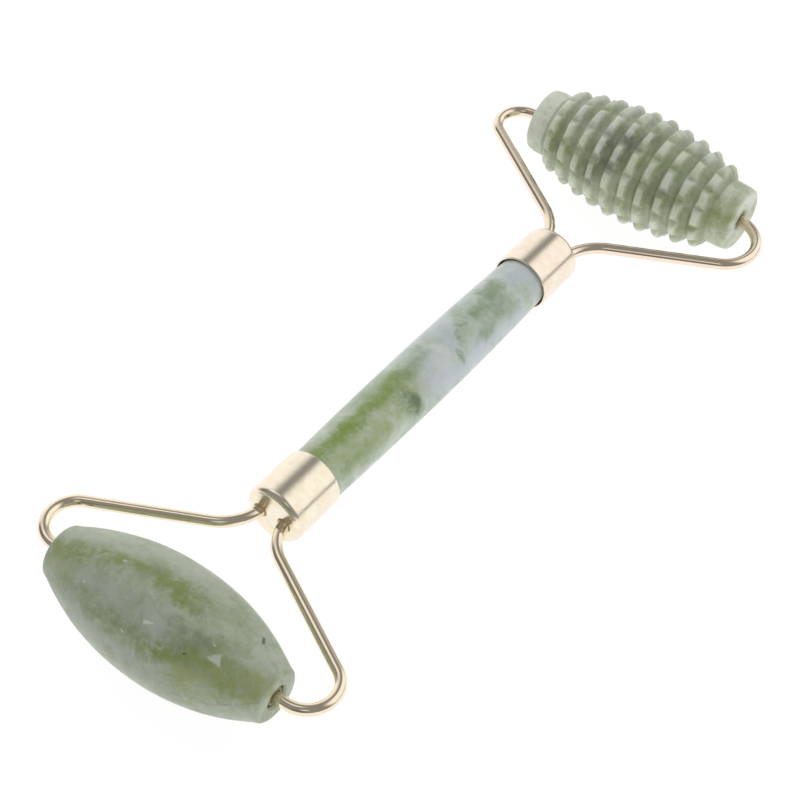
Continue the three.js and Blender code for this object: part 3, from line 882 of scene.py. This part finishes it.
def build_floor():
    low, _ = CAD_BOX
    mesh = bpy.data.meshes.new("floor")
    corners = [(-1, -1), (1, -1), (1, 1), (-1, 1)]
    points = [(x * FLOOR_HALF, y * FLOOR_HALF, low.z - FLOOR_GAP) for x, y in corners]
    mesh.from_pydata(points, [], [(0, 1, 2, 3)])
    floor = bpy.data.objects.new("floor", mesh)
    bpy.context.scene.collection.objects.link(floor)
    s = Shader("floor_white")
    s.set(Base_Color=colour(100, 100, 100), Roughness=0.9, Specular_IOR_Level=0.1)
    s.surface.inputs["Emission Color"].default_value = (1, 1, 1, 1)
    s.surface.inputs["Emission Strength"].default_value = FLOOR_GLOW
    mesh.materials.append(s.material)


# The tent's own level, then each card's azimuth from +Y towards +X, its elevation, the angles
# at which it is full and gone, and its level.
SHELL = 0.27
CARDS = [
    (38, 30, 27, 46, 1.06),
    (-56, 4, 22, 54, 1.03),
    (-84, 56, 8, 19, 0.98),
    (-80, 78, 4, 10, 1.15),
    (146, 46, 5, 12, 0.85),
    (-108, 18, 8, 22, 0.18),
    (-22, 49, 0, 14, 0.26),
    (160, 20, 10, 24, 0.16),
]
SEAM_AZIMUTH = 58  # where the tent meets the floor, it shows a thin dark seam
SEAM_LEVEL = 0.08


def build_world():
    """A light tent: a dim shell with bright cards round it, and the gaps between them."""
    world = bpy.data.worlds.new("tent")
    bpy.context.scene.world = world
    world.use_nodes = True
    s = Nodes(world.node_tree)
    direction = s.vector("NORMALIZE", s.new("ShaderNodeTexCoord").outputs["Generated"])
    level = SHELL
    for azimuth, elevation, inner, outer, target in CARDS:
        a, e = math.radians(azimuth), math.radians(elevation)
        aim = (math.sin(a) * math.cos(e), math.cos(a) * math.cos(e), math.sin(e))
        near = s.vector("DOT_PRODUCT", direction, aim)
        card = s.ramp(near, math.cos(math.radians(outer)), math.cos(math.radians(inner)))
        gain = s.math("SUBTRACT", target, level)
        level = s.math("ADD", level, s.math("MULTIPLY", card, gain))
    height = s.math("ABSOLUTE", s.vector("DOT_PRODUCT", direction, (0.0, 0.0, 1.0)))
    a = math.radians(SEAM_AZIMUTH)
    facing = s.vector("DOT_PRODUCT", direction, (math.sin(a), math.cos(a), 0.0))
    seam = s.math("MULTIPLY", s.ramp(height, 0.14, 0.08), s.ramp(facing, 0.75, 0.9))
    gain = s.math("SUBTRACT", SEAM_LEVEL, level)
    level = s.math("ADD", level, s.math("MULTIPLY", seam, gain))
    background = s.new("ShaderNodeBackground")
    s.put(level, background.inputs["Strength"])
    background.inputs["Color"].default_value = (1.0, 0.99, 0.975, 1.0)
    output = s.new("ShaderNodeOutputWorld")
    s.link(background.outputs[0], output.inputs["Surface"])


def build_lamp(name, place, aim, size, power):
    """A soft area light that the gold doesn't mirror."""
    data = bpy.data.lights.new(name, "AREA")
    data.shape = "SQUARE"
    data.size = size
    data.energy = power
    lamp = bpy.data.objects.new(name, data)
    bpy.context.scene.collection.objects.link(lamp)
    lamp.visible_glossy = False
    lamp.location = place
    lamp.rotation_mode = "QUATERNION"
    lamp.rotation_quaternion = (Vector(aim) - Vector(place)).to_track_quat("-Z", "Y")


CAMERA_ANGLES = (33.33, 47.63, 4.89)  # azimuth, elevation and roll, in degrees
CAMERA_AIM = (0.483, SMOOTH_CAP_Y + 32.14, 0)  # near the middle of the handle
CAMERA_AWAY = 0.326  # metres from there
CAMERA_LENS = 90.24  # on a 36 mm sensor


def build_camera():
    azimuth, elevation, roll = (math.radians(angle) for angle in CAMERA_ANGLES)
    back = Vector((math.sin(azimuth) * math.cos(elevation),
                   -math.cos(azimuth) * math.cos(elevation), math.sin(elevation)))
    forward = -back
    right = forward.cross(Vector((0, 0, 1))).normalized()
    up = right.cross(forward)
    turned_right = right * math.cos(roll) + up * math.sin(roll)
    turned_up = up * math.cos(roll) - right * math.sin(roll)
    lean = Matrix.Rotation(LEAN, 3, "X")
    axes = [lean @ turned_right, lean @ turned_up, lean @ back]
    target = TOOL @ Vector(CAMERA_AIM)
    data = bpy.data.cameras.new("camera")
    data.sensor_width = 36
    data.lens = CAMERA_LENS
    data.dof.use_dof = False
    data.clip_start, data.clip_end = 0.01, 100
    camera = bpy.data.objects.new("camera", data)
    bpy.context.scene.collection.objects.link(camera)
    rotation = Matrix(axes).transposed().to_4x4()
    camera.matrix_world = Matrix.Translation(target + axes[2] * CAMERA_AWAY) @ rotation
    bpy.context.scene.camera = camera


build_floor()
build_world()
build_lamp("key_left", (-0.60, 0.05, 0.55), (0, 0, 0), 0.35, 1.7)
build_lamp("fill_right", (0.50, -0.42, 0.42), (0, 0, 0), 0.40, 1.4)
build_camera()
bpy.context.scene.view_settings.view_transform = "Standard"
